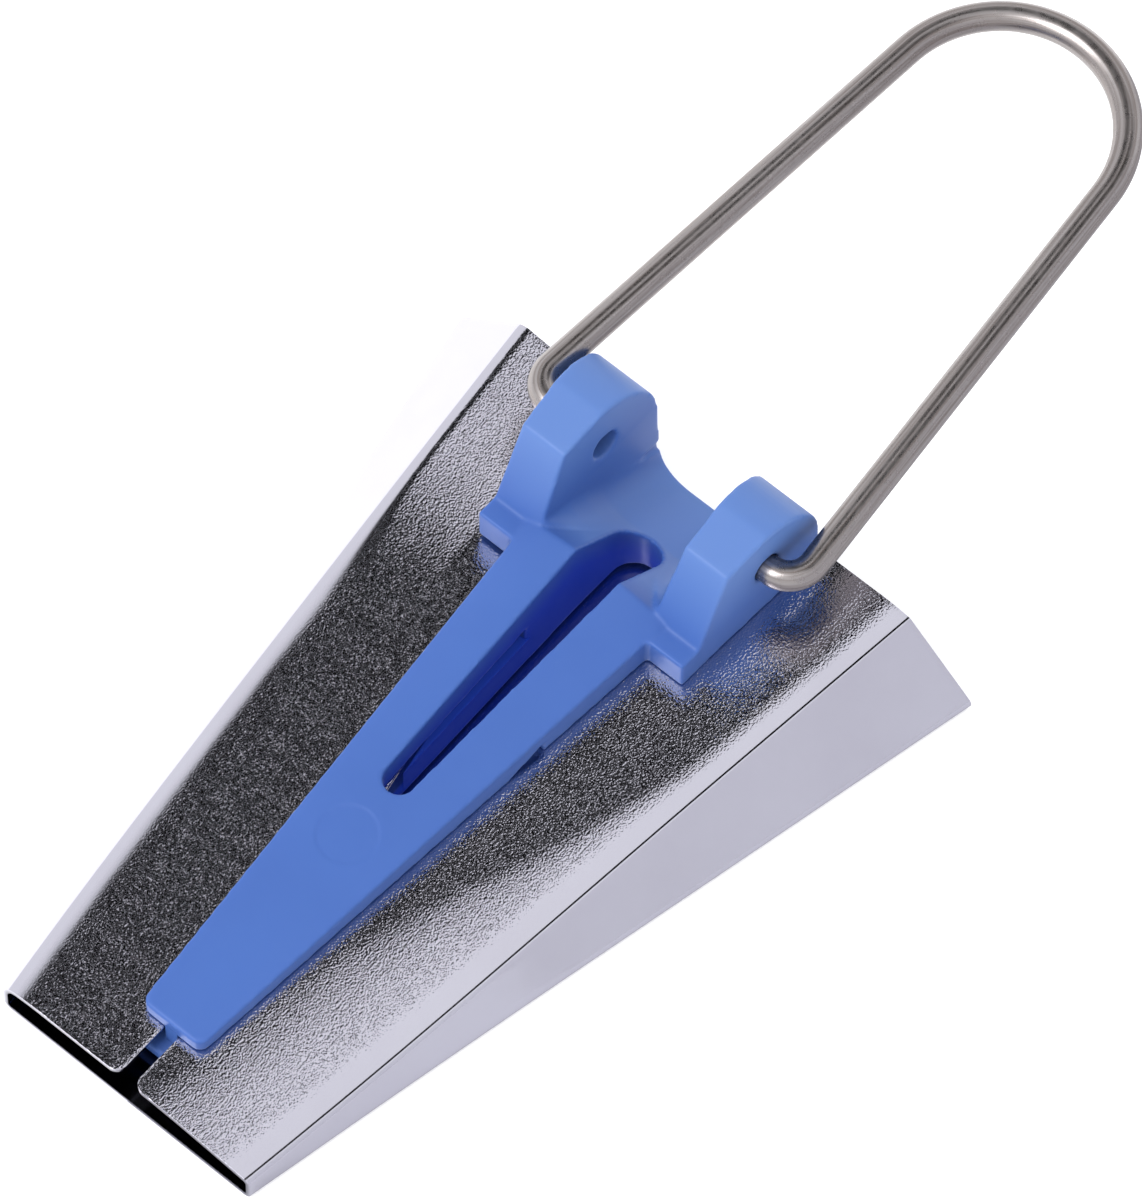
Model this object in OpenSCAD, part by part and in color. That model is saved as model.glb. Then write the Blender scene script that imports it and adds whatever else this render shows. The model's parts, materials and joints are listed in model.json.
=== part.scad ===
// Bias tape maker: a cloth strip is drawn in at the wide end and leaves the narrow end folded.
// A tapered sheet-steel body, a plastic guide with a slot for an awl, and a wire bail to pull it by.
// Each piece is drawn from the narrow mouth, with +X towards the bail and +Z up, and then set
// back so that the origin is at the bottom centre of the whole tool.

/* [Sheet body] */
// Width of the finished tape, which sets the narrow mouth
tape_w = 18; // [17.5:0.1:18.5]
// Length of the body from mouth to mouth
body_len = 56.5; // [54:0.5:60]
// Thickness of the sheet steel
sheet_t = 0.35; // [0.25:0.05:0.4]
// Height of the narrow mouth, outside
narrow_h = 3; // [3:0.1:3.4]
// Height of the wide mouth, outside
wide_h = 5.9; // [5.6:0.1:6.2]
// Width across the top of the wide mouth
wide_top_w = 32.9; // [31:0.1:34]
// Width across the bottom of the wide mouth, to the corners before rounding
wide_bottom_w = 45.5; // [44:0.1:46.5]
// Outside radius of the folds
fold_r = 0.6; // [0.5:0.05:0.8]
// Gap between the two top flaps
flap_gap = 1.2; // [1:0.1:1.4]

/* [Plastic guide] */
// Where the rail starts, from the narrow mouth
rail_start = 4.3; // [4:0.1:5]
// Width of the rail at its tip
rail_tip_w = 5; // [4.6:0.1:5.4]
// Width of the rail where it meets the shoulders
rail_end_w = 11.4; // [11:0.1:11.8]
// Height of the rail's tip above the flaps
rail_tip_h = 1.25; // [1:0.05:1.5]
// Height of the rail's ridge above the table
ridge_z = 8.6; // [8.2:0.1:9]
// Width of the awl slot at its narrow end
slot_tip_w = 2.2; // [1.8:0.1:2.4]
// Width of the awl slot at its wide end
slot_end_w = 3.6; // [3:0.1:3.8]
// Height of the lugs above the table
lug_z = 14.3; // [13.8:0.1:14.6]
// Gap between the lugs at their front
lug_gap = 10.2; // [9.6:0.1:10.4]
// Thickness of the inner tongue
tongue_t = 1; // [0.8:0.1:1.1]

/* [Wire bail] */
// Diameter of the wire
wire_d = 2; // [1.8:0.1:2.1]
// Radial clearance of the wire's ends in the lugs
pin_clearance = 0.07; // [0.04:0.01:0.1]
// Distance from the hinge to the middle of the end of the loop
bail_reach = 41.7; // [38:0.1:46]
// Spread of the legs at the hinge, middle to middle
bail_spread = 22.5; // [22.4:0.1:23]
// Angle by which each leg leans inwards
leg_angle = 4.9; // [4:0.1:5.4]
// Rise of the bail above level
bail_rise = 4.8; // [0:0.1:10]

/* [Hidden] */
$fn = 64;
cut = 0.5;                            // how far a cutting solid runs past what it cuts
plate_gap = 0.05;                     // gap between the guide and the sheet that it sits on
cloth_gap = 0.5;                      // room for cloth under the tongue
tape_room = 1.1;                      // room beside the folded tape
narrow_w = tape_w + 2 * (sheet_t + tape_room);  // outside width of the narrow mouth
fold_steps = 5;                       // facets round each fold

// Guide stations along the body
tongue_start = 3.2;
shoulder_x = 43.3;
step_x = 44.9;                        // foot of each lug's front face
ridge_x = 45;
ramp_mid_x = 50.5;                    // the ramp behind the ridge eases here
ramp_mid_z = 4.5;
lip_z = 1.9;                          // top of the guide's edge at the wide mouth
bend_x = 47.6;                        // top of each lug's front face
guide_end = 56;
lug_round = 4.8;
bend_drop = 0.9;                      // how far the bend lies under a lug's top
shoulder_w = 17.3;
shoulder_z = 7.7;
lug_gap_end = 9.3;                    // gap between the lugs at the wide mouth
lug_out = 8.65;                       // outer face of a lug at the bend
lug_out_end = 9.2;                    // outer face of a lug at the wide mouth
slot_x = 26;
slot_wide_x = 45.5;
slot_end_x = 48.6;                    // centre of the slot's rounded far end
window_x = 24;                        // where the flaps start to part under the rail
window_w = 10;
relief_x = [31, 34.2];                // small relief under each side of the rail
relief_h = 0.9;

// Hinge
hinge_x = 51.2;
hinge_z = 10.5;
pin_r = wire_d / 2 - 0.02;            // the wire's ends are a shade thinner than its legs
hole_r = pin_r + pin_clearance;
pin_inner = 5.6;                      // inner end of each pin, from the centre
pin_lap = 0.2;                        // straight wire before each elbow
elbow_r = 1.9;
elbow_steps = 8;
loop_steps = 26;
wire_sides = 24;

tool_len = hinge_x + bail_reach * cos(bail_rise) + wire_d / 2;

function blend(a, b, t) = a + (b - a) * t;
function along(x) = x / body_len;
function height(x) = blend(narrow_h, wide_h, along(x));
function top_half(x) = blend(narrow_w, wide_top_w, along(x)) / 2;
function bottom_half(x) = blend(narrow_w, wide_bottom_w, along(x)) / 2;
function rail_half(x) = blend(rail_tip_w, rail_end_w, (x - rail_start) / (shoulder_x - rail_start)) / 2;
function ramp_z(x) = blend(ridge_z, ramp_mid_z, (x - ridge_x) / (ramp_mid_x - ridge_x));
function window_half(x) = blend(flap_gap, window_w, min(1, (x - window_x) / (bend_x - window_x))) / 2;
function flap_edge(x) = x < window_x ? flap_gap / 2 : window_half(x);

// One half of the body's section, at a distance r from each fold's centre
function fold_arc(cy, cz, r, a0, a1) =
    [for (i = [0 : fold_steps]) let (a = blend(a0, a1, i / fold_steps)) [cy + r * cos(a), cz + r * sin(a)]];
function half_section(x, skin) =
    let (
        h = height(x),
        top = top_half(x),
        bottom = bottom_half(x),
        side = norm([h, bottom - top]),
        ny = h / side,
        nz = (bottom - top) / side,
        a = atan2(nz, ny),
        r = fold_r - skin
    )
    concat(
        [[flap_edge(x), h - skin]],
        fold_arc(top + fold_r * (nz - 1) / ny, h - fold_r, r, 90, a),
        fold_arc(bottom - fold_r * (1 + nz) / ny, fold_r, r, a, -90)
    );
function flipped(p) = [for (i = [len(p) - 1 : -1 : 0]) [-p[i][0], p[i][1]]];
function backwards(p) = [for (i = [len(p) - 1 : -1 : 0]) p[i]];
function section(x) =
    let (outer = half_section(x, 0), inner = half_section(x, sheet_t))
    concat(outer, flipped(outer), backwards(concat(inner, flipped(inner))));

// Faces that close a ring's end: one for a solid ring, a strip of them for a folded sheet
function disc_cap(n) = [[for (i = [0 : n - 1]) i]];
function strip_cap(n) = [for (i = [0 : n / 2 - 2]) [i, i + 1, n - 2 - i, n - 1 - i]];

// A closed solid through a list of rings, each with the same number of points
module loft(rings, cap) {
    n = len(rings[0]);
    last = len(rings) - 1;
    points = [for (ring = rings) for (p = ring) p];
    sides = [
        for (k = [0 : last - 1]) for (i = [0 : n - 1]) for (half = [0, 1])
            let (j = (i + 1) % n, a = k * n, b = (k + 1) * n)
            half == 0 ? [a + i, a + j, b + i] : [a + j, b + j, b + i]
    ];
    first_end = [for (f = cap) backwards(f)];
    last_end = [for (f = cap) [for (i = f) last * n + i]];
    polyhedron(points, concat(sides, first_end, last_end), convexity = 8);
}

// An outline in X and Z, pulled along Y to both sides
module side_prism(width) {
    rotate([90, 0, 0]) translate([0, 0, -width / 2]) linear_extrude(width) children();
}

module side_prism_between(y0, y1) {
    translate([0, (y0 + y1) / 2, 0]) side_prism(y1 - y0) children();
}

// An outline in X and Y, pulled up
module plan_prism(z0, z1) {
    translate([0, 0, z0]) linear_extrude(z1 - z0) children();
}

module both_sides() {
    children();
    mirror([0, 1, 0]) children();
}

// Rail and shoulders, above the flaps
module rail() {
    seat = plate_gap;
    intersection() {
        side_prism(shoulder_w + 2)
            polygon([
                [rail_start, height(rail_start) + seat],
                [rail_start, height(rail_start) + rail_tip_h],
                [ridge_x, ridge_z],
                [bend_x, ramp_z(bend_x)],
                [bend_x, height(bend_x) + seat]
            ]);
        plan_prism(0, lug_z)
            polygon([
                [rail_start, -rail_tip_w / 2 + cut],
                [rail_start + cut, -rail_tip_w / 2],
                [bend_x, -rail_half(bend_x)],
                [bend_x, rail_half(bend_x)],
                [rail_start + cut, rail_tip_w / 2],
                [rail_start, rail_tip_w / 2 - cut]
            ]);
    }
    both_sides()
        side_prism_between(rail_half(shoulder_x) - cut, shoulder_w / 2)
            polygon([
                [shoulder_x, height(shoulder_x) + seat],
                [shoulder_x, shoulder_z],
                [step_x + cut, shoulder_z + cut / 4],
                [step_x + cut, height(step_x + cut) + seat]
            ]);
}

// Neck through the gap between the flaps, with the ramp that falls to the wide mouth
module neck() {
    inset = 2 * plate_gap;
    intersection() {
        side_prism(window_w)
            polygon([
                [rail_start, sheet_t + cloth_gap],
                [rail_start, height(rail_start) + rail_tip_h / 2],
                [ridge_x - 1, ridge_z - 1],
                [ridge_x, ridge_z],
                [ramp_mid_x, ramp_mid_z],
                [guide_end, lip_z],
                [guide_end, sheet_t + cloth_gap]
            ]);
        plan_prism(0, lug_z)
            polygon([
                [rail_start, -flap_gap / 2 + inset],
                [window_x, -flap_gap / 2 + inset],
                [bend_x, -window_w / 2 + inset],
                [guide_end, -window_w / 2 + inset],
                [guide_end, window_w / 2 - inset],
                [bend_x, window_w / 2 - inset],
                [window_x, flap_gap / 2 - inset],
                [rail_start, flap_gap / 2 - inset]
            ]);
    }
}

// Flat tongue inside the body, which the cloth folds round
module tongue() {
    tip_w = tape_w - 1.2;
    end_w = 21;
    plan_prism(sheet_t + cloth_gap, sheet_t + cloth_gap + tongue_t)
        polygon([
            [tongue_start, -tip_w / 2],
            [guide_end, -end_w / 2],
            [guide_end, end_w / 2],
            [tongue_start, tip_w / 2]
        ]);
}

module lug() {
    foot = height(step_x) + plate_gap;
    intersection() {
        side_prism_between(0, shoulder_w)
            union() {
                polygon([
                    [step_x, foot],
                    [step_x, shoulder_z],
                    [bend_x, lug_z - bend_drop],
                    [guide_end - lug_round, lug_z],
                    [guide_end - lug_round, lug_z - lug_round],
                    [guide_end, lug_z - lug_round],
                    [guide_end, height(guide_end) + plate_gap]
                ]);
                translate([guide_end - lug_round, lug_z - lug_round])
                    intersection() {
                        circle(lug_round);
                        square(lug_round);
                    }
            }
        plan_prism(0, lug_z + 1)
            polygon([
                [shoulder_x, lug_gap / 2],
                [bend_x, lug_gap / 2],
                [guide_end, lug_gap_end / 2],
                [guide_end, lug_out_end],
                [bend_x, lug_out],
                [shoulder_x, lug_out]
            ]);
    }
    // root of the lug, down through the gap between the flaps to the tongue
    side_prism_between(lug_gap_end / 2 - 1, window_w / 2 - 2 * plate_gap)
        polygon([
            [bend_x, sheet_t + cloth_gap],
            [bend_x, ridge_z],
            [guide_end, ridge_z],
            [guide_end, sheet_t + cloth_gap]
        ]);
}

module awl_slot() {
    plan_prism(0, ridge_z + 1) {
        translate([slot_x, 0]) circle(d = slot_tip_w);
        translate([slot_end_x, 0]) circle(d = slot_end_w);
        polygon([
            [slot_x, -slot_tip_w / 2],
            [slot_wide_x, -slot_end_w / 2],
            [slot_end_x, -slot_end_w / 2],
            [slot_end_x, slot_end_w / 2],
            [slot_wide_x, slot_end_w / 2],
            [slot_x, slot_tip_w / 2]
        ]);
    }
}

// Small relief in the foot of each side of the rail
module rail_relief() {
    depth = 0.6;
    both_sides()
        side_prism_between(rail_half(relief_x[0]) - depth, rail_half(relief_x[1]) + cut)
            polygon([
                [relief_x[0], height(relief_x[0])],
                [relief_x[1], height(relief_x[1])],
                [relief_x[1], height(relief_x[1]) + relief_h]
            ]);
}

module folded_body() {
    front = [for (x = [0 : 4 : window_x]) x];
    rear = [28, 32, 36, 40, 44, bend_x, 52, body_len];
    color([0.8, 0.8, 0.83])
        translate([-tool_len / 2, 0, 0])
            loft([for (x = concat(front, rear)) [for (p = section(x)) [x, p[0], p[1]]]],
                strip_cap(len(section(0))));
}

module slotted_guide() {
    color([0.36, 0.53, 0.87])
        translate([-tool_len / 2, 0, 0])
            difference() {
                union() {
                    rail();
                    neck();
                    tongue();
                    both_sides() lug();
                }
                awl_slot();
                rail_relief();
                translate([hinge_x, 0, hinge_z])
                    rotate([90, 0, 0])
                        cylinder(r = hole_r, h = 2 * shoulder_w, center = true);
            }
}

// Points round a bend, each with the direction of travel, which turns to the right
function bend(cx, cy, r, a0, a1, steps) =
    [for (i = [0 : steps]) let (a = blend(a0, a1, i / steps)) [cx + r * cos(a), cy + r * sin(a), a - 90]];
function other_side(path) = [for (i = [len(path) - 1 : -1 : 0]) [path[i][0], -path[i][1], 180 - path[i][2]]];
function wire_ring(p, r) =
    [for (j = [0 : wire_sides - 1])
        let (t = -360 * j / wire_sides)
        [p[0] - r * cos(t) * sin(p[2]), p[1] + r * cos(t) * cos(p[2]), r * sin(t)]];

// The bail lies in its own plane, with the hinge along Y through its origin
module wire_bail() {
    wire_r = wire_d / 2;
    elbow_y = bail_spread / 2 - elbow_r * (1 + sin(leg_angle)) * tan(leg_angle) - elbow_r * cos(leg_angle);
    loop_r = (bail_spread / 2 * cos(leg_angle) - bail_reach * sin(leg_angle)) / (1 - sin(leg_angle));
    straight = [0, elbow_y - pin_lap, 90];
    elbow = concat([straight], bend(elbow_r, elbow_y, elbow_r, 180, 90 - leg_angle, elbow_steps));
    loop = bend(bail_reach - loop_r, 0, loop_r, 90 - leg_angle, leg_angle - 90, loop_steps);
    path = concat(elbow, loop, other_side(elbow));
    color([0.75, 0.72, 0.7])
        translate([hinge_x - tool_len / 2, 0, hinge_z])
            rotate([0, -bail_rise, 0]) {
                loft([for (p = path) wire_ring(p, wire_r)], disc_cap(wire_sides));
                for (y = [pin_inner, -elbow_y])
                    translate([0, y, 0])
                        rotate([-90, 0, 0]) cylinder(r = pin_r, h = elbow_y - pin_inner);
            }
}

folded_body();
slotted_guide();
wire_bail();
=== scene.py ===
import json
import math

import bmesh
import bpy
import numpy as np
from mathutils import Matrix, Vector, noise


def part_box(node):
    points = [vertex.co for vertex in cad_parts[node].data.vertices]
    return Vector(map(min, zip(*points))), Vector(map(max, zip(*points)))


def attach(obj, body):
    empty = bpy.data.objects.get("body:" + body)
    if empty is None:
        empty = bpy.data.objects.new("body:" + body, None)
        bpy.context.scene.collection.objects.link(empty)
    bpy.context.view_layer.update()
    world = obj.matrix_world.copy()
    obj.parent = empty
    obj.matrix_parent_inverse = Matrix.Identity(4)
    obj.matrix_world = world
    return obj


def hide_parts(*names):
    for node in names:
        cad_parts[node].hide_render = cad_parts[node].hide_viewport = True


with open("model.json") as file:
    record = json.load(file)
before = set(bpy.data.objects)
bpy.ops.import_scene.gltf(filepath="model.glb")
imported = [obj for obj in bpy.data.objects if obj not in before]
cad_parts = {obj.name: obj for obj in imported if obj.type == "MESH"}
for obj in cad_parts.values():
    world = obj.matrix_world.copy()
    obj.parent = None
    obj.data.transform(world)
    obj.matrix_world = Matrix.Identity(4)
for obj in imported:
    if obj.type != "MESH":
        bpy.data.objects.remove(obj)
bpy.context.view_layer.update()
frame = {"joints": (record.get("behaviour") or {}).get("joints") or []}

# Pieces are drawn in millimetres from the narrow mouth, then set into the frame
mm = 0.001
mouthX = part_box("folded_body")[0].x
mouth = Vector((mouthX, 0, 0))
hinge = Vector(frame["joints"][0]["pos_m"])


def mix(a, b, t):
    return a + (b - a) * t


def ease(t):
    t = min(1.0, max(0.0, t))
    return t * t * (3 - 2 * t)


def meshFrom(name, points, faces, origin=mouth):
    # a new object from points in millimetres, measured from the origin
    mesh = bpy.data.meshes.new(name)
    mesh.from_pydata([Vector(p) * mm + origin for p in points], [], faces)
    mesh.update()
    piece = bpy.data.objects.new(name, mesh)
    bpy.context.scene.collection.objects.link(piece)
    return piece


def loftFaces(rings, size, strip=False):
    # walls between rings, then both ends: one face each, or a strip for a folded sheet
    faces = []
    for k in range(rings - 1):
        for i in range(size):
            j = (i + 1) % size
            a, b = k * size, (k + 1) * size
            faces.append((a + i, a + j, b + j, b + i))
    if strip:
        ends = [(i, i + 1, size - 2 - i, size - 1 - i) for i in range(size // 2 - 1)]
    else:
        ends = [tuple(range(size))]
    top = (rings - 1) * size
    faces += [tuple(reversed(f)) for f in ends]
    faces += [tuple(top + i for i in f) for f in ends]
    return faces


def loftSolid(name, rings, strip=False, origin=mouth):
    points = [p for ring in rings for p in ring]
    return meshFrom(name, points, loftFaces(len(rings), len(rings[0]), strip), origin)


def faceOutwards(piece):
    grid = bmesh.new()
    grid.from_mesh(piece.data)
    bmesh.ops.recalc_face_normals(grid, faces=grid.faces)
    grid.to_mesh(piece.data)
    grid.free()


def addModifier(piece, kind, **settings):
    modifier = piece.modifiers.new(kind.title(), kind)
    for key, value in settings.items():
        setattr(modifier, key, value)
    return modifier


def bake(piece):
    # the modifiers' result becomes the mesh
    shown = piece.evaluated_get(bpy.context.evaluated_depsgraph_get())
    piece.data = bpy.data.meshes.new_from_object(shown)
    piece.modifiers.clear()


def roundEdges(piece, radius, degrees):
    limit = math.radians(degrees)
    addModifier(piece, "BEVEL", width=radius * mm, segments=3, limit_method="ANGLE", angle_limit=limit)


def shadeSmooth(piece, degrees=180):
    for face in piece.data.polygons:
        face.use_smooth = True
    if degrees < 180:
        piece.data.set_sharp_from_angle(angle=math.radians(degrees))


def joinInto(first, others):
    grid = bmesh.new()
    for piece in [first, *others]:
        grid.from_mesh(piece.data)
    grid.to_mesh(first.data)
    grid.free()
    for piece in others:
        bpy.data.objects.remove(piece)
    return first


def storeFloats(piece, name, values):
    layer = piece.data.attributes.new(name, "FLOAT", "POINT")
    layer.data.foreach_set("value", np.asarray(values, np.float32))


# Materials

def newMaterial(name):
    material = bpy.data.materials.new(name)
    material.use_nodes = True
    tree = material.node_tree
    return material, tree, tree.nodes["Principled BSDF"]


def addNode(tree, kind, inputs=None, **settings):
    node = tree.nodes.new(kind)
    for key, value in settings.items():
        setattr(node, key, value)
    for key, value in (inputs or {}).items():
        if isinstance(value, bpy.types.NodeSocket):
            tree.links.new(value, node.inputs[key])
        else:
            node.inputs[key].default_value = value
    return node


def attributeOf(tree, name):
    return addNode(tree, "ShaderNodeAttribute", attribute_name=name).outputs["Fac"]


def objectPlace(tree):
    return addNode(tree, "ShaderNodeTexCoord").outputs["Object"]


def noiseOf(tree, place, scale, detail, roughness):
    node = addNode(tree, "ShaderNodeTexNoise", {
        "Vector": place, "Scale": scale, "Detail": detail, "Roughness": roughness})
    return node.outputs[0]


def bumpOf(tree, height, strength, depth, below=None):
    inputs = {"Strength": strength, "Distance": depth, "Height": height}
    if below is not None:
        inputs["Normal"] = below
    return addNode(tree, "ShaderNodeBump", inputs).outputs[0]


def mixTint(tree, share, tint, other):
    node = addNode(tree, "ShaderNodeMix", {0: share, 6: tint, 7: (*other, 1)}, data_type="RGBA")
    return node.outputs[2]


def addRamp(tree, source, low, high, dark, light):
    node = addNode(tree, "ShaderNodeMapRange", {0: source, 1: low, 2: high, 3: dark, 4: light})
    return node.outputs[0]


def tintRamp(tree, source, stops):
    node = addNode(tree, "ShaderNodeValToRGB", {0: source})
    points = node.color_ramp.elements
    while len(points) < len(stops):
        points.new(0.5)
    for point, (place, colour) in zip(points, stops):
        point.position = place
        point.color = (*colour, 1)
    return node.outputs[0]


plating = {
    "tint": (0.60, 0.595, 0.665),
    "tintWorn": (0.56, 0.55, 0.62),
    # painted shade: a dark tint for the inner face just inside the narrow mouth, which lies in shade
    "paintedMouthShadeTint": (0.10, 0.10, 0.125),
    "cloudScale": 90.0,      # per metre, as are the other scales
    "grainScale": 6900,      # about a seventh of a millimetre a grain
    "grainDepth": 0.000024,
    "waveScale": 260,
    "waveDepth": 0.00004,
    "waveStrength": 0.25,
    "roughSmooth": 0.13,
    "roughGrain": 0.035,
}


def platedSheetMaterial():
    material, tree, shader = newMaterial("platedSheet")
    place = objectPlace(tree)
    grain = attributeOf(tree, "grain")
    fine = noiseOf(tree, place, plating["grainScale"], 1.0, 0.5)
    wave = noiseOf(tree, place, plating["waveScale"], 2.0, 0.5)
    cloud = noiseOf(tree, place, plating["cloudScale"], 4.0, 0.6)
    lowBump = bumpOf(tree, wave, plating["waveStrength"], plating["waveDepth"])
    grainBump = bumpOf(tree, fine, grain, plating["grainDepth"], lowBump)
    tree.links.new(grainBump, shader.inputs["Normal"])
    outside = tintRamp(tree, cloud, [(0.3, plating["tint"]), (0.75, plating["tintWorn"])])
    # painted shade: the inner face is darkened inside the narrow mouth
    tint = mixTint(tree, attributeOf(tree, "paintedMouthShade"), outside, plating["paintedMouthShadeTint"])
    tree.links.new(tint, shader.inputs["Base Color"])
    rough = addRamp(tree, grain, 0.0, 1.0, plating["roughSmooth"], plating["roughGrain"])
    tree.links.new(rough, shader.inputs["Roughness"])
    shader.inputs["Metallic"].default_value = 1.0
    return material


plastic = {
    "tint": (0.054, 0.126, 0.392),
    "tintDeep": (0.047, 0.114, 0.368),
    # painted light: a lighter blue for the lug tops and the web between the lugs
    "paintedLightTint": (0.096, 0.187, 0.455),
    # painted shade: deep navy for the inside of the awl slot
    "paintedSlotShadeTint": (0.012, 0.045, 0.34),
    "paintedSlotGlowColour": (0.03, 0.10, 1.0),      # painted glow: emission colour standing in for light that comes through the moulding into the awl slot
    "paintedSlotGlow": 0.10,
    "subsurface": 0.12,
    "glow": (0.5, 0.7, 1.0),
    "glowDepth": 0.0012,
    "roughLow": 0.36,
    "roughHigh": 0.48,
    "flowScale": 120.0,
    "skinScale": 2600.0,
    "skinDepth": 0.00001,
    "skinStrength": 0.12,
    "paintedLightFrom": 0.008,       # metres up, where the lugs start to be painted lighter, as painted light on their tops
    "paintedLightTo": 0.0132,
    "ior": 1.45,
    "specular": 0.32,
}


def bluePlasticMaterial():
    material, tree, shader = newMaterial("bluePlastic")
    place = objectPlace(tree)
    flow = noiseOf(tree, place, plastic["flowScale"], 3.0, 0.5)
    skin = noiseOf(tree, place, plastic["skinScale"], 3.0, 0.6)
    height = addNode(tree, "ShaderNodeSeparateXYZ", {0: place}).outputs[2]
    # painted light: the lugs lighter with height and the ramp's web lighter; painted shade: the awl slot
    # darker with depth
    lugs = addRamp(tree, height, plastic["paintedLightFrom"], plastic["paintedLightTo"], 0.0, 1.0)
    ramp = attributeOf(tree, "ramp")
    paintedLightMask = addNode(tree, "ShaderNodeMath", {0: lugs, 1: ramp}, operation="MAXIMUM").outputs[0]
    body = tintRamp(tree, flow, [(0.3, plastic["tint"]), (0.7, plastic["tintDeep"])])
    paintedSlotShadeAndGlow = attributeOf(tree, "paintedSlotShadeAndGlow")
    tint = mixTint(tree, paintedSlotShadeAndGlow, mixTint(tree, paintedLightMask, body, plastic["paintedLightTint"]), plastic["paintedSlotShadeTint"])
    tree.links.new(tint, shader.inputs["Base Color"])
    rough = addRamp(tree, flow, 0.3, 0.7, plastic["roughLow"], plastic["roughHigh"])
    tree.links.new(rough, shader.inputs["Roughness"])
    tree.links.new(
        bumpOf(tree, skin, plastic["skinStrength"], plastic["skinDepth"]), shader.inputs["Normal"])
    shader.inputs["Subsurface Weight"].default_value = plastic["subsurface"]
    shader.inputs["Subsurface Radius"].default_value = plastic["glow"]
    shader.inputs["Subsurface Scale"].default_value = plastic["glowDepth"]
    shader.inputs["IOR"].default_value = plastic["ior"]
    shader.inputs["Specular IOR Level"].default_value = plastic["specular"]
    # painted glow: the inside of the awl slot emits a faint blue light
    paintedSlotGlowStrength = addNode(tree, "ShaderNodeMath", {0: paintedSlotShadeAndGlow, 1: plastic["paintedSlotGlow"]}, operation="MULTIPLY")
    tree.links.new(paintedSlotGlowStrength.outputs[0], shader.inputs["Emission Strength"])
    shader.inputs["Emission Color"].default_value = (*plastic["paintedSlotGlowColour"], 1)
    return material


wireFinish = {
    "tint": (0.375, 0.35, 0.343),
    "tintDark": (0.215, 0.185, 0.172),
    "roughLow": 0.24,
    "roughHigh": 0.34,
    "lineStretch": (5.0, 5.0, 0.06),       # fine round the wire and long along it
    "lineStrength": 0.25,
    "lineDepth": 0.00002,
    "patchScale": 1.4,
}


def steelWireMaterial():
    material, tree, shader = newMaterial("steelWire")
    along, around = attributeOf(tree, "along"), attributeOf(tree, "around")
    turnX = addNode(tree, "ShaderNodeMath", {0: around}, operation="COSINE").outputs[0]
    turnY = addNode(tree, "ShaderNodeMath", {0: around}, operation="SINE").outputs[0]
    place = addNode(tree, "ShaderNodeCombineXYZ", {0: turnX, 1: turnY, 2: along}).outputs[0]
    stretch = {"Vector": place, "Scale": wireFinish["lineStretch"]}
    drawn = addNode(tree, "ShaderNodeMapping", stretch).outputs[0]
    lines = noiseOf(tree, drawn, 1.0, 5.0, 0.7)
    patches = noiseOf(tree, place, wireFinish["patchScale"], 4.0, 0.6)
    tint = tintRamp(tree, lines, [(0.35, wireFinish["tintDark"]), (0.6, wireFinish["tint"])])
    tree.links.new(tint, shader.inputs["Base Color"])
    rough = addRamp(tree, patches, 0.3, 0.7, wireFinish["roughLow"], wireFinish["roughHigh"])
    tree.links.new(rough, shader.inputs["Roughness"])
    tree.links.new(
        bumpOf(tree, lines, wireFinish["lineStrength"], wireFinish["lineDepth"]), shader.inputs["Normal"])
    shader.inputs["Metallic"].default_value = 1.0
    return material


# Folded sheet body

sheetBody = {
    "length": 56.5,
    "mouthWidth": 20.9,
    "wideTop": 32.9,
    "wideBottom": 45.5,
    "mouthHeight": 3.0,
    "wideHeight": 5.9,
    "sheet": 0.35,
    "fold": 0.6,
    "flapGap": 1.2,
    "flapCorner": 0.8,
    "windowStart": 24.0,
    "windowEnd": 47.6,
    "windowWidth": 10.0,
    "rollSlope": 8.0,        # degrees that a flap leans at its fold
    "rollWide": 1.8,         # width of the leaning band on the -Y flap, at the wide mouth
    "rollNarrow": 8.2,       # and at the narrow mouth
    "rollFrom": 8.0,         # where along the tool that width changes, and over what length
    "rollOver": 34.0,
    "rollBow": 1.5,          # near 1 the band leans evenly, at 2 it leans more and more
    "rollLeft": 2.2,         # and on the +Y flap
    "rollLeftWide": 0.35,
    "rollLeftFrom": 32.0,
    "rollLeftOver": 14.0,
    "foldLeft": 1.2,         # the +Y fold is rounder
    "dipSlope": 7.5,         # degrees that the +Y flap dips inwards at the wide mouth
    "dipWidth": 5.5,
    "dipFrom": 34.0,
    "dipOver": 14.0,
    "dipStandOff": 0.3,      # flat strip between that fold and the dip
    "ripple": 0.012,
    "rippleLength": 6.0,
    "rippleWidth": 3.5,
    "paintedShadeTo": 5.0,           # painted shade: the inner face near the narrow mouth is painted dark as far in as this, then fades
    "paintedShadeFade": 9.0,
    "edgeRound": 0.07,
    "stations": 130,         # steps along the sheet, then across each part of a half section
    "cornerSteps": 10,
    "flapSteps": 44,
    "foldSteps": 12,
    "wallSteps": 8,
    "lowerSteps": 16,
    "bottomSteps": 10,
}


def bodyHeight(x):
    return mix(sheetBody["mouthHeight"], sheetBody["wideHeight"], x / sheetBody["length"])


def flapEdge(x):
    s = sheetBody
    edge = s["flapGap"] / 2
    if x > s["windowStart"]:
        share = min(1.0, (x - s["windowStart"]) / (s["windowEnd"] - s["windowStart"]))
        edge = mix(s["flapGap"], s["windowWidth"], share) / 2
    corner = s["flapCorner"]
    if x < corner:
        edge += corner - math.sqrt(corner**2 - (corner - x) ** 2)
    return edge


def rollBand(x, side):
    s = sheetBody
    if side > 0:
        return mix(s["rollLeft"], s["rollLeftWide"], ease((x - s["rollLeftFrom"]) / s["rollLeftOver"]))
    return mix(s["rollNarrow"], s["rollWide"], ease((x - s["rollFrom"]) / s["rollOver"]))


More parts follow.
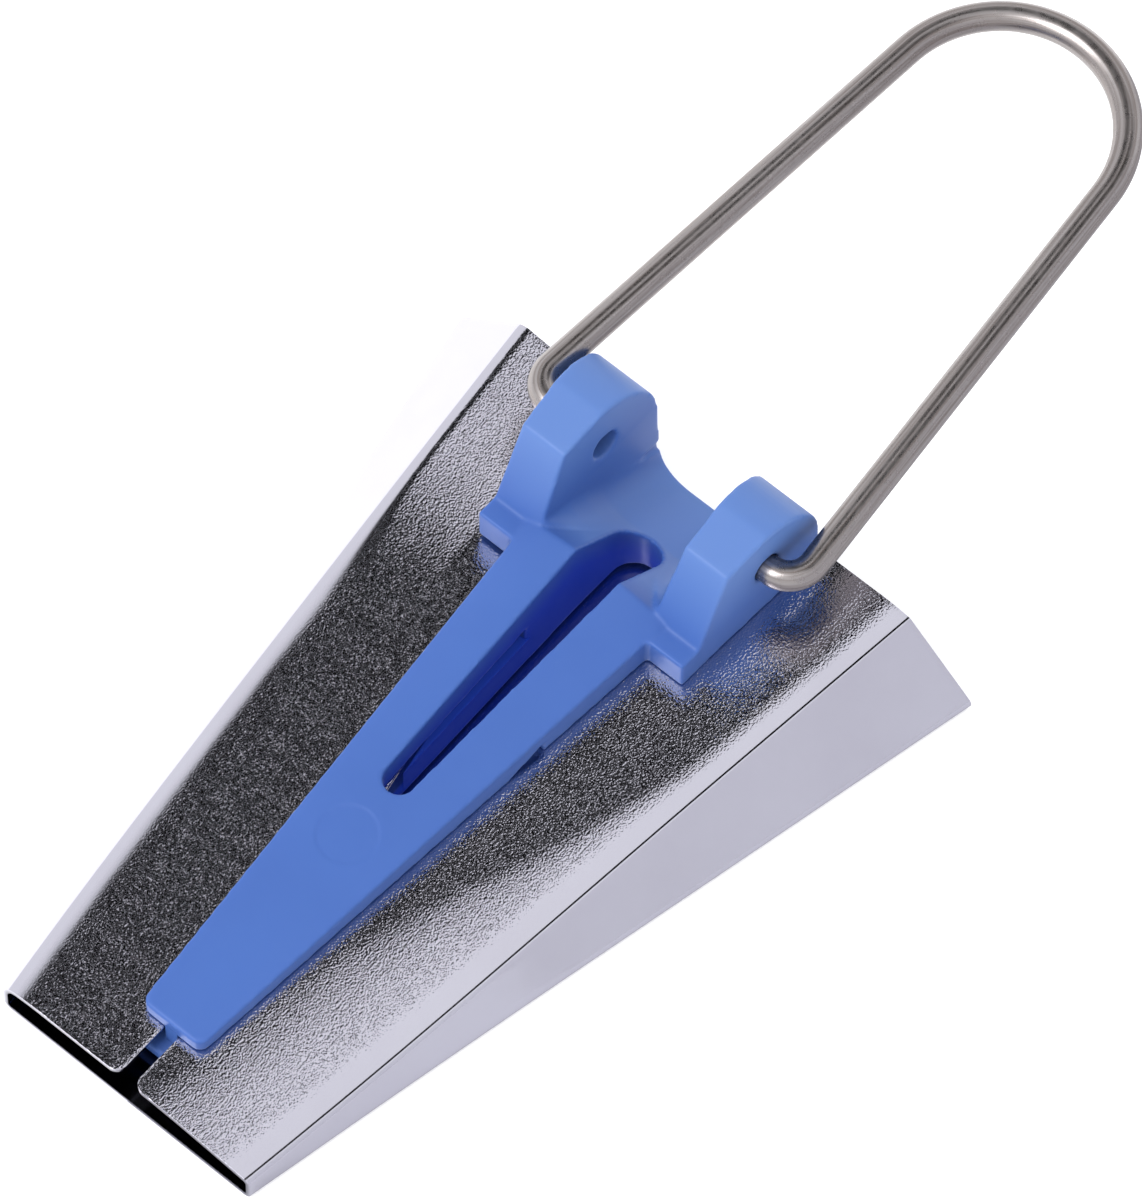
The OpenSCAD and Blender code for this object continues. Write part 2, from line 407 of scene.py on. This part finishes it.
def halfSection(x, side):
    # outer skin of one half: points and outward normals, from the flap's edge to the middle of the bottom
    s = sheetBody
    share = x / s["length"]
    lean = math.radians(s["rollSlope"])
    band = rollBand(x, side)
    bow = s["rollBow"] if side < 0 else 2.0
    roll = band * math.tan(lean) / bow
    height = bodyHeight(x) - roll
    top = mix(s["mouthWidth"], s["wideTop"], share) / 2
    bottom = mix(s["mouthWidth"], s["wideBottom"], share) / 2
    wallLength = math.hypot(height, bottom - top)
    ny, nz = height / wallLength, (bottom - top) / wallLength
    wallAngle = math.atan2(nz, ny)
    bend = s["foldLeft"] if side > 0 else s["fold"]
    upper = (top + bend * (nz - 1) / ny, height - bend)
    r = s["fold"]
    lower = (bottom - r * (1 + nz) / ny, r)
    foldStart = math.pi / 2 - lean
    crease = upper[0] + bend * math.cos(foldStart)
    creaseZ = upper[1] + bend * math.sin(foldStart)
    edge = flapEdge(x)
    dip = math.tan(math.radians(s["dipSlope"])) * ease((x - s["dipFrom"]) / s["dipOver"]) if side > 0 else 0.0
    points, normals = [], []
    for i in range(s["flapSteps"]):
        y = mix(edge, crease, (i / s["flapSteps"]) ** 0.85)      # closer together near the fold
        inside = max(0.0, 1 - (crease - y) / band)
        z = creaseZ + roll * (1 - inside**bow)
        slope = bow * roll * inside ** (bow - 1) / band
        z -= dip * min(s["dipWidth"], max(0.0, crease - s["dipStandOff"] - y))
        points.append((y, z))
        normals.append((math.sin(slope), math.cos(slope)))
    arcs = (
        (upper, bend, foldStart, wallAngle, s["foldSteps"]),
        (lower, r, wallAngle, -math.pi / 2, s["lowerSteps"]))
    for centre, radius, a0, a1, steps in arcs:
        for i in range(steps + 1):
            a = mix(a0, a1, i / steps)
            points.append((centre[0] + radius * math.cos(a), centre[1] + radius * math.sin(a)))
            normals.append((math.cos(a), math.sin(a)))
        if centre is upper:
            last, first = points[-1], (lower[0] + r * ny, lower[1] + r * nz)
            for i in range(1, s["wallSteps"]):
                t = i / s["wallSteps"]
                points.append((mix(last[0], first[0], t), mix(last[1], first[1], t)))
                normals.append((ny, nz))
    for i in range(1, s["bottomSteps"] + 1):
        points.append((lower[0] * (1 - i / (s["bottomSteps"] + 0.5)), 0.0))
        normals.append((0.0, -1.0))
    return points, normals


def rippleAt(x, y):
    s = sheetBody
    return s["ripple"] * noise.noise(Vector((x / s["rippleLength"], y / s["rippleWidth"], 4.2)))


def foldedBodyPiece():
    s = sheetBody
    corner = s["flapCorner"]
    flap = s["flapSteps"]
    turns = 2 * s["cornerSteps"]
    stations = [corner * (1 - math.cos(i * math.pi / turns)) for i in range(s["cornerSteps"])]
    stations += [corner + (s["length"] - corner) * i / s["stations"] for i in range(s["stations"] + 1)]
    rings, grain, paintedMouthShade = [], [], []
    for x in stations:
        skin, liningSkin, weights = [], [], []
        for side in (1, -1):
            points, normals = halfSection(x, side)
            band = rollBand(x, side)
            crease = points[flap][0]
            outer, inner, fades = [], [], []
            for k, ((y, z), (ny, nz)) in enumerate(zip(points, normals)):
                # the sparkle and the ripple start a little way in from the fold
                fade = ease((crease - y) / min(band * 0.9, 2.0) - 0.15) if k < flap else 0.0
                z += rippleAt(x, side * y) * fade
                outer.append((x, side * y, z))
                inner.append((x, side * (y - ny * s["sheet"]), z - nz * s["sheet"]))
                fades.append(fade)
            skin += outer if side > 0 else outer[::-1]
            liningSkin += inner if side > 0 else inner[::-1]
            weights += fades if side > 0 else fades[::-1]
        rings.append(skin + liningSkin[::-1])
        grain += weights + [0.0] * len(liningSkin)
        # painted shade: the inner face is dark near the narrow mouth and fades further in
        paintedMouthShade += [0.0] * len(skin) + [1.0 - ease((x - s["paintedShadeTo"]) / s["paintedShadeFade"])] * len(liningSkin)
    piece = loftSolid("foldedBody", rings, strip=True)
    storeFloats(piece, "grain", grain)
    storeFloats(piece, "paintedMouthShade", paintedMouthShade)
    faceOutwards(piece)
    roundEdges(piece, s["edgeRound"], 50)
    shadeSmooth(piece)
    piece.data.materials.append(platedSheetMaterial())
    return piece


# Plastic guide

guide = {
    "start": 4.3,
    "tipWidth": 5.0,
    "endWidth": 11.4,
    "tipRise": 1.25,
    "tipCorner": 0.7,
    "crown": 0.72,           # how far the rail's outer edges lie under its middle, at the shoulders
    "ridgeX": 45.0,
    "ridgeZ": 8.6,
    "rampMidX": 50.5,
    "rampMidZ": 4.5,
    "end": 56.0,
    "lipZ": 1.9,
    "shoulderX": 43.3,
    "stepX": 44.9,
    "shoulderHalf": 8.65,
    "shoulderZ": 7.7,
    "bendX": 47.6,
    "lugZ": 14.3,
    "bendDrop": 0.9,
    "lugInner": 5.1,
    "lugInnerEnd": 4.65,
    "lugOuter": 8.65,
    "lugOuterEnd": 9.2,
    "lugRound": 4.8,
    "seat": 0.05,
    "leftSink": 0.5,         # the +Y foot reaches down to its dipped flap
    "slotStart": 26.0,
    "slotTipWidth": 2.2,
    "slotWidth": 3.6,
    "slotWideX": 45.5,
    "slotEnd": 48.6,
    "boreRadius": 1.05,
    "blendRadius": 2.4,      # hollow corner between a lug and the ramp
    "grid": 0.13,            # remeshing grid
    "rounding": 9,           # smoothing passes, which round every edge
    "markX": 21.0,
    "markRadius": 2.15,
    "markDepth": 0.05,
    "markSoft": 0.2,
    "neckFrom": 24.0,        # the neck stands between the flaps and widens from here
    "neckTipHalf": 0.5,
    "neckSpread": 0.186,
    "neckHalf": 4.9,
    "neckSink": 0.3,         # the neck lies this far under the rail's top where both are
    "neckMeet": 42.0,        # where its front half ends, and how wide that is
    "neckMeetHalf": 3.8,
    "neckLow": 1.2,
    "neckTop": 3.6,
    "shoulderInner": 4.0,
    "lugDraft": 0.05,
    "rootBack": 0.37,        # how far a root reaches into its lug, and under the ramp
    "rootDepth": 0.6,
    "rootOver": 3.2,         # length over which a root grows
    "keyInner": 4.77,
    "keyInnerEnd": 4.33,
    "keyOuter": 4.96,
    "keyLow": 0.93,
    "keyTop": 6.63,
    "keyFront": 0.17,
    "keyBack": 0.04,
    "reliefFrom": 31.0,
    "reliefTo": 34.2,
    "reliefRise": 0.95,
    "reliefUnder": 0.2,
    "tongueStart": 3.2,
    "tongueTipHalf": 8.4,
    "tongueEndHalf": 10.5,
    "tongueLow": 0.85,
    "tongueTop": 1.85,
    "tongueRound": 0.3,
    "past": 12.0,            # past every face, for cutters
    "paintedSlotMargin": 0.35,    # the slot's painted shade and painted glow spread this far beside it
    "paintedSlotSoft": 0.2,
    "paintedSlotDepth": 2.6,
    "paintedSlotLead": 2.0,
    "paintedSlotEnd": 51.5,
    # painted light: the ramp's web is lighter within this half width, fading over the soft width
    "rampHalf": 5.1,
    "rampSoft": 1.6,
}


def railHalf(x):
    g = guide
    half = mix(g["tipWidth"], g["endWidth"], (x - g["start"]) / (g["shoulderX"] - g["start"])) / 2
    into = x - g["start"]
    corner = g["tipCorner"]
    if into < corner:
        half -= corner - math.sqrt(max(0.0, corner**2 - (corner - into) ** 2))
    return half


def ridgeLine(x):
    g = guide
    tip = bodyHeight(g["start"]) + g["tipRise"]
    if x <= g["ridgeX"]:
        return mix(tip, g["ridgeZ"], (x - g["start"]) / (g["ridgeX"] - g["start"]))
    if x <= g["rampMidX"]:
        return mix(g["ridgeZ"], g["rampMidZ"], (x - g["ridgeX"]) / (g["rampMidX"] - g["ridgeX"]))
    return mix(g["rampMidZ"], g["lipZ"], (x - g["rampMidX"]) / (g["end"] - g["rampMidX"]))


def railSolid():
    g = guide
    rings = []
    stations = [g["start"] + d for d in (0, 0.06, 0.14, 0.25, 0.4, 0.55, 0.7)]
    stations += list(np.arange(g["start"] + 1.2, g["ridgeX"], 0.8)) + [g["ridgeX"], g["bendX"]]
    for x in stations:
        half = railHalf(x)
        crown = g["crown"] * (x - g["start"]) / (g["shoulderX"] - g["start"])
        top = ridgeLine(x)
        bottom = bodyHeight(x) + g["seat"]
        across = [mix(-1, 1, i / 16) for i in range(17)]
        ring = [(x, half, bottom), (x, -half, bottom)]
        ring += [(x, half * t, top - crown * t * t) for t in across]
        rings.append(ring)
    return loftSolid("rail", rings)


def slab(name, outline, low, high):
    # an outline in X and Y between two heights
    return loftSolid(name, [[(x, y, z) for x, y in outline] for z in (low, high)])


def rearNeckSolid():
    g = guide
    rings = []
    stations = [40.0, 42.0, g["ridgeX"] - 0.5, g["ridgeX"], 46.2, g["bendX"], 49.0]
    for x in [*stations, g["rampMidX"], 53.0, g["end"]]:
        half = min(g["neckHalf"], g["neckTipHalf"] + (x - g["neckFrom"]) * g["neckSpread"])
        sink = g["neckSink"] if x < g["ridgeX"] - 0.2 else 0.0
        crown = g["crown"] * (1 - ease((x - g["ridgeX"]) / 5)) + sink
        across = [mix(-half, half, i / 12) for i in range(13)]
        ring = [(x, half, g["tongueLow"]), (x, -half, g["tongueLow"])]
        ring += [(x, y, ridgeLine(x) - crown * (y / (g["endWidth"] / 2)) ** 2) for y in across]
        rings.append(ring)
    return loftSolid("neck", rings)


def shoulderSolid(side):
    g = guide
    front, back = g["shoulderX"], g["stepX"] + 1.0
    inner, outer = side * g["shoulderInner"], side * g["shoulderHalf"]
    foot = bodyHeight(front) + g["seat"] - max(0, side) * g["leftSink"] / 2
    outline = [(front, inner), (back, inner), (back, outer), (front, outer)]
    return slab("shoulder", outline, foot, g["shoulderZ"])


def lugProfile():
    g = guide
    radius = g["lugRound"]
    centreX, centreZ = g["end"] - radius, g["lugZ"] - radius
    arc = [math.radians(a) for a in range(90, -1, -6)]
    outline = [
        (g["end"], bodyHeight(g["end"]) + g["seat"]),
        (g["stepX"], bodyHeight(g["stepX"]) + g["seat"]),
        (g["stepX"], g["shoulderZ"]),
        (g["bendX"], g["lugZ"] - g["bendDrop"])]
    outline += [(centreX + radius * math.cos(a), centreZ + radius * math.sin(a)) for a in arc]
    return outline


def lugShare(x):
    # 0 at the bend and 1 at the wide mouth
    g = guide
    return max(0.0, (x - g["bendX"]) / (g["end"] - g["bendX"]))


def lugInnerFace(x, z):
    g = guide
    return mix(g["lugInner"], g["lugInnerEnd"], lugShare(x)) - g["lugDraft"] * (g["lugZ"] - z)


def lugSolid(side):
    g = guide
    inner, outer = [], []
    for x, z in lugProfile():
        innerY = lugInnerFace(x, z)
        if side > 0 and z < g["shoulderZ"] - 0.1:
            z -= g["leftSink"]
        inner.append((x, side * innerY, z))
        outer.append((x, side * mix(g["lugOuter"], g["lugOuterEnd"], lugShare(x)), z))
    return loftSolid("lug", [inner, outer])


def lugRootSolid(side):
    # the hollow corner between the ramp and the lug's inner face
    g = guide
    rings = []
    arc = [math.radians(a) for a in range(0, 91, 10)]
    stations = [g["ridgeX"] + 0.3, g["ridgeX"] + 0.9, 46.6, g["bendX"], 49.0, g["rampMidX"]]
    for x in [*stations, 52.0, 53.5, g["end"]]:
        rampZ = ridgeLine(x)
        wall = lugInnerFace(x, rampZ) + 0.05
        into = x - g["ridgeX"]
        grow = min(g["blendRadius"] * min(1.0, max(0.02, into / g["rootOver"])), 1.1 * into)
        back, low = wall + g["rootBack"], rampZ - g["rootDepth"]
        ring = [(back, low), (back, rampZ + grow)]
        ring += [(wall - grow + grow * math.cos(a), rampZ + grow - grow * math.sin(a)) for a in arc]
        ring += [(wall - grow, low)]
        rings.append([(x, side * y, z) for y, z in ring])
    return loftSolid("lugRoot", rings)


def lugKeySolid(side):
    # the lug's root, down between the flaps to the tongue
    g = guide
    rings = []
    ends = ((g["bendX"] + g["keyFront"], g["keyInner"]), (g["end"] - g["keyBack"], g["keyInnerEnd"]))
    for x, inner in ends:
        low, top, outer = g["keyLow"], g["keyTop"], g["keyOuter"]
        rings.append([(x, side * y, z) for y, z in ((inner, low), (outer, low), (outer, top), (inner, top))])
    return loftSolid("lugKey", rings)


def slotCutter():
    g = guide
    tip, wide = g["slotTipWidth"] / 2, g["slotWidth"] / 2
    outline = [
        (g["slotStart"] - tip * math.cos(math.radians(a)), tip * math.sin(math.radians(a)))
        for a in range(-90, 91, 10)
    ]
    outline += [(g["slotWideX"], wide)]
    outline += [
        (g["slotEnd"] + wide * math.cos(math.radians(a)), wide * math.sin(math.radians(a)))
        for a in range(90, -91, -10)
    ]
    outline += [(g["slotWideX"], -wide)]
    return slab("slotCutter", outline, -1.0, g["past"])


def boreCutter():
    g = guide
    turn = [2 * math.pi * i / 48 for i in range(48)]
    hingeX, hingeZ = (hinge.x - mouthX) / mm, hinge.z / mm
    ring = [(hingeX + g["boreRadius"] * math.cos(a), hingeZ + g["boreRadius"] * math.sin(a)) for a in turn]
    return loftSolid("boreCutter", [[(x, y, z) for x, z in ring] for y in (-g["past"], g["past"])])


def reliefCutter(side):
    # small wedge of air under the rail's edge
    g = guide
    rings = []
    for x, rise in ((g["reliefFrom"], 0.02), (g["reliefTo"], g["reliefRise"])):
        low = bodyHeight(x) - g["reliefUnder"]
        high = low + g["reliefUnder"] + rise
        inner, outer = side * (railHalf(x) - 0.7), side * (railHalf(x) + 0.5)
        rings.append([(x, inner, low), (x, outer, low), (x, outer, high), (x, inner, high)])
    return loftSolid("reliefCutter", rings)


def cutWith(piece, cutter):
    faceOutwards(cutter)
    addModifier(piece, "BOOLEAN", operation="DIFFERENCE", object=cutter, solver="EXACT")
    bake(piece)
    bpy.data.objects.remove(cutter)


def tonguePiece():
    g = guide
    start, end, tip, wide = g["tongueStart"], g["end"], g["tongueTipHalf"], g["tongueEndHalf"]
    tongue = slab(
        "tongue", [(start, -tip), (end, -wide), (end, wide), (start, tip)], g["tongueLow"], g["tongueTop"])
    tipHalf, meetHalf = g["neckTipHalf"], g["neckMeetHalf"]
    right = [(g["start"], -tipHalf), (g["neckFrom"], -tipHalf), (g["neckMeet"], -meetHalf)]
    left = [(x, -y) for x, y in reversed(right)]
    neck = slab("frontNeck", right + left, g["neckLow"], g["neckTop"])
    for piece in (tongue, neck):
        faceOutwards(piece)
    cutWith(neck, slotCutter())
    cutWith(tongue, slotCutter())
    roundEdges(tongue, g["tongueRound"], 40)
    bake(tongue)
    return joinInto(tongue, [neck])


def guidePiece():
    g = guide
    shoulders = [shoulderSolid(side) for side in (1, -1)]
    rail, neck = railSolid(), rearNeckSolid()
    lugs = [lugSolid(side) for side in (1, -1)]
    roots = [makeRoot(side) for makeRoot in (lugRootSolid, lugKeySolid) for side in (1, -1)]
    for solid in [rail, neck, *shoulders, *lugs, *roots]:
        faceOutwards(solid)
    for cutter in [slotCutter(), reliefCutter(1), reliefCutter(-1)]:
        cutWith(rail, cutter)
    cutWith(neck, slotCutter())
    for lug in lugs:
        cutWith(lug, boreCutter())
    upper = joinInto(rail, [neck, *shoulders, *lugs, *roots])
    addModifier(upper, "REMESH", mode="VOXEL", voxel_size=g["grid"] * mm)
    bake(upper)
    addModifier(upper, "SMOOTH", factor=0.5, iterations=g["rounding"])
    bake(upper)
    pressMark(upper)
    piece = joinInto(upper, [tonguePiece()])
    piece.name = "slottedGuide"
    markPaintedShadeAndLight(piece)
    shadeSmooth(piece, 60)
    piece.data.materials.append(bluePlasticMaterial())
    return piece


def vertexPlaces(piece):
    # every point in metres, then its X, Y and Z in millimetres and the ridge's height over it
    co = np.zeros(len(piece.data.vertices) * 3, np.float32)
    piece.data.vertices.foreach_get("co", co)
    co = co.reshape(-1, 3)
    x, y, z = (co[:, 0] - mouthX) / mm, co[:, 1] / mm, co[:, 2] / mm
    return co, x, y, z, np.array([ridgeLine(v) for v in x])


def markPaintedShadeAndLight(piece):
    # where each point lies in the awl slot, which gets painted shade and a painted glow, or on the ramp's
    # web, which gets painted light
    g = guide
    x, y, z, tops = vertexPlaces(piece)[1:]
    share = np.clip((x - g["slotStart"]) / (g["slotWideX"] - g["slotStart"]), 0, 1)
    half = mix(g["slotTipWidth"], g["slotWidth"], share) / 2
    beside = np.hypot(np.maximum(0, g["slotStart"] - x), np.maximum(0, x - g["slotEnd"]))
    near = np.clip((half + g["paintedSlotMargin"] - np.hypot(y, beside)) / g["paintedSlotSoft"], 0, 1)
    inSlot = near * (x > g["slotStart"] - g["paintedSlotLead"]) * (x < g["paintedSlotEnd"])
    # painted shade and glow: the deeper in the slot, the darker and the more glowing
    storeFloats(piece, "paintedSlotShadeAndGlow", inSlot * np.clip((tops - 0.1 - z) / g["paintedSlotDepth"], 0, 1) ** 0.8)
    # painted light: the ramp's web between the lugs, outside the slot
    inward = np.clip((g["rampHalf"] - np.abs(y)) / g["rampSoft"], 0, 1)
    storeFloats(piece, "ramp", np.clip((x - g["ridgeX"] - 0.3) / 1.5, 0, 1) * inward * (1 - inSlot))


def pressMark(piece):
    # shallow round ejector mark near the rail's tip
    g = guide
    co, x, y, z, tops = vertexPlaces(piece)
    away = np.hypot(x - g["markX"], y)
    sunk = np.clip((g["markRadius"] - away) / g["markSoft"], 0, 1) * (z > tops - 0.5)
    co[:, 2] -= (sunk * g["markDepth"] * mm).astype(np.float32)
    piece.data.vertices.foreach_set("co", co.ravel())
    piece.data.update()


# Wire bail

bail = {
    "wire": 2.0,
    "endThinner": 0.02,
    "pinInner": 5.6,
    "reach": 41.7,
    "spread": 22.5,
    "lean": 4.9,
    "rise": 4.8,
    "elbow": 1.9,
    "endTaper": 0.18,
    "sides": 32,
    "loopSteps": 28,
    "legSteps": 40,
    "elbowSteps": 16,
    "endSteps": 10,
}


def bailPath():
    # points and headings in the bail's own plane, from the middle of the loop to one end
    b = bail
    lean, elbow, half = math.radians(b["lean"]), b["elbow"], b["spread"] / 2
    quarter = math.pi / 2 - lean
    elbowY = half - elbow * (1 + math.sin(lean)) * math.tan(lean) - elbow * math.cos(lean)
    loop = (half * math.cos(lean) - b["reach"] * math.sin(lean)) / (1 - math.sin(lean))
    path = []
    for i in range(b["loopSteps"] + 1):
        a = quarter * i / b["loopSteps"]
        path.append((b["reach"] - loop + loop * math.cos(a), loop * math.sin(a), a + math.pi / 2))
    start = path[-1]
    goal = (elbow + elbow * math.cos(quarter), elbowY + elbow * math.sin(quarter))
    for i in range(1, b["legSteps"]):
        t = i / b["legSteps"]
        path.append((mix(start[0], goal[0], t), mix(start[1], goal[1], t), start[2]))
    for i in range(b["elbowSteps"] + 1):
        a = mix(quarter, math.pi, i / b["elbowSteps"])
        path.append((elbow + elbow * math.cos(a), elbowY + elbow * math.sin(a), a + math.pi / 2))
    tip = path[-1]
    for i in range(1, b["endSteps"] + 1):
        path.append((0.0, mix(tip[1], b["pinInner"], i / b["endSteps"]), tip[2]))
    return path


def wireBailPiece():
    b = bail
    half = bailPath()
    whole = [(x, -y, math.pi - heading) for x, y, heading in reversed(half[1:])] + half
    rings, along, around = [], [], []
    travelled, before = 0.0, whole[0]
    for k, (x, y, heading) in enumerate(whole):
        travelled += math.hypot(x - before[0], y - before[1])
        before = (x, y)
        fromEnd = min(k, len(whole) - 1 - k)
        r = b["wire"] / 2 - (b["endThinner"] if fromEnd <= b["endSteps"] else 0.0)
        if fromEnd == 0:
            r -= b["endTaper"]
        side = (-math.sin(heading), math.cos(heading))
        ring = []
        for j in range(b["sides"]):
            turn = 2 * math.pi * j / b["sides"]
            out = r * math.cos(turn)
            ring.append((x + out * side[0], y + out * side[1], r * math.sin(turn)))
            along.append(travelled)
            around.append(turn)
        rings.append(ring)
    piece = loftSolid("wireBail", rings, origin=Vector())
    storeFloats(piece, "along", along)
    storeFloats(piece, "around", around)
    faceOutwards(piece)
    piece.data.transform(Matrix.Translation(hinge) @ Matrix.Rotation(-math.radians(b["rise"]), 4, "Y"))
    shadeSmooth(piece, 50)
    piece.data.materials.append(steelWireMaterial())
    return piece


# Camera, floor and lights

view = {
    "azimuth": -48.82,
    "elevation": 60.74,
    "distance": 0.753,
    "lens": 372.4,
    "aim": (-0.00429, 0.00011, 0.00724),
}


def backwards(azimuth, elevation):
    a, e = math.radians(azimuth), math.radians(elevation)
    return Vector((math.sin(a) * math.cos(e), -math.cos(a) * math.cos(e), math.sin(e)))


def addCamera():
    data = bpy.data.cameras.new("camera")
    data.lens = view["lens"]
    data.sensor_width = 36
    data.sensor_fit = "HORIZONTAL"
    data.clip_start, data.clip_end = 0.05, 20
    camera = bpy.data.objects.new("camera", data)
    back = backwards(view["azimuth"], view["elevation"])
    camera.location = Vector(view["aim"]) + back * view["distance"]
    camera.rotation_mode = "QUATERNION"
    camera.rotation_quaternion = (-back).to_track_quat("-Z", "Y")
    bpy.context.scene.collection.objects.link(camera)
    bpy.context.scene.camera = camera


studio = {
    "floorColour": (0.80, 0.80, 0.80),
    "floorGlow": 0.45,       # a little light of its own, so that no shadow greys the floor
    "skyColour": (0.97, 0.97, 1.0),
    "skyStrength": 1.12,
    "keyPlace": (-0.55, 0.2, 0.7),
    "keySize": 0.5,
    "keyPower": 5.0,
    "flagDistance": 0.5,
}


def addKeyPanel():
    # a soft light panel that faces the object
    data = bpy.data.lights.new("keyPanel", "AREA")
    data.shape = "RECTANGLE"
    data.size, data.size_y = studio["keySize"], studio["keySize"]
    data.energy = studio["keyPower"]
    light = bpy.data.objects.new("keyPanel", data)
    light.location = studio["keyPlace"]
    light.rotation_mode = "QUATERNION"
    light.rotation_quaternion = (-Vector(studio["keyPlace"])).to_track_quat("-Z", "Y")
    bpy.context.scene.collection.objects.link(light)


def placeSlats(name, centre, along, across, shade, slats=1, gap=0.0):
    # slats that only reflections see; along and across reach from the middle to the edges
    mesh = bpy.data.meshes.new(name)
    points = []
    for k in range(slats):
        middle = centre + across * ((2 * k + 1) / slats - 1)
        half = across * ((1 - gap) / slats)
        points += [
            middle - along - half, middle + along - half, middle + along + half, middle - along + half]
    mesh.from_pydata(points, [], [tuple(range(4 * k, 4 * k + 4)) for k in range(slats)])
    card = bpy.data.objects.new(name, mesh)
    material, tree, shader = newMaterial(name)
    shader.inputs["Base Color"].default_value = (shade, shade, shade * 1.05, 1)
    shader.inputs["Roughness"].default_value = 1.0
    shader.inputs["Specular IOR Level"].default_value = 0.0
    mesh.materials.append(material)
    bpy.context.scene.collection.objects.link(card)
    card.visible_camera = False
    card.visible_diffuse = False
    card.visible_shadow = False


def addFlag(name, direction, length, width, shade=0.004, slats=1, gap=0.0):
    # hangs in a direction from the object, facing it, and is long along X
    back = Vector(direction).normalized()
    across = back.cross(Vector((1, 0, 0))).normalized()
    along = across.cross(back)
    placeSlats(name, back * studio["flagDistance"], along * length / 2, across * width / 2, shade, slats, gap)


def addFloor():
    mesh = bpy.data.meshes.new("floor")
    mesh.from_pydata([(-6, -6, 0), (6, -6, 0), (6, 6, 0), (-6, 6, 0)], [], [(0, 1, 2, 3)])
    floor = bpy.data.objects.new("floor", mesh)
    floor.location.z = -0.00002
    material, tree, shader = newMaterial("floorPaper")
    shader.inputs["Base Color"].default_value = (*studio["floorColour"], 1)
    shader.inputs["Roughness"].default_value = 0.9
    shader.inputs["Emission Color"].default_value = (1, 1, 1, 1)
    shader.inputs["Emission Strength"].default_value = studio["floorGlow"]
    mesh.materials.append(material)
    bpy.context.scene.collection.objects.link(floor)


def addStudio():
    scene = bpy.context.scene
    scene.view_settings.view_transform = "Standard"
    world = bpy.data.worlds.new("softRoom")
    world.use_nodes = True
    sky = world.node_tree.nodes["Background"]
    sky.inputs["Color"].default_value = (*studio["skyColour"], 1)
    sky.inputs["Strength"].default_value = studio["skyStrength"]
    scene.world = world
    addFloor()
    addKeyPanel()
    addFlag("flapFlag", (0.277, 0.35, 0.89), length=0.42, width=0.20, slats=3, gap=0.05)
    addFlag("creaseFlag", (0.368, -0.27, 0.89), length=0.40, width=0.20)
    addFlag("wallFlag", (0.10, -0.92, 0.36), length=0.9, width=0.5, shade=0.55)
    placeSlats(
        "floorCard", Vector((0, -0.16, -0.00001)), Vector((0.2, 0, 0)), Vector((0, 0.16, 0)), shade=0.6)


addCamera()
addStudio()
print("camera and studio ready")

sheet = foldedBodyPiece()
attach(sheet, "tool")
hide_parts("folded_body")
print("folded body ready")

moulding = guidePiece()
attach(moulding, "tool")
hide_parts("slotted_guide")
print("guide ready")

wire = wireBailPiece()
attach(wire, "bail")
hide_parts("wire_bail")
print("wire bail ready")
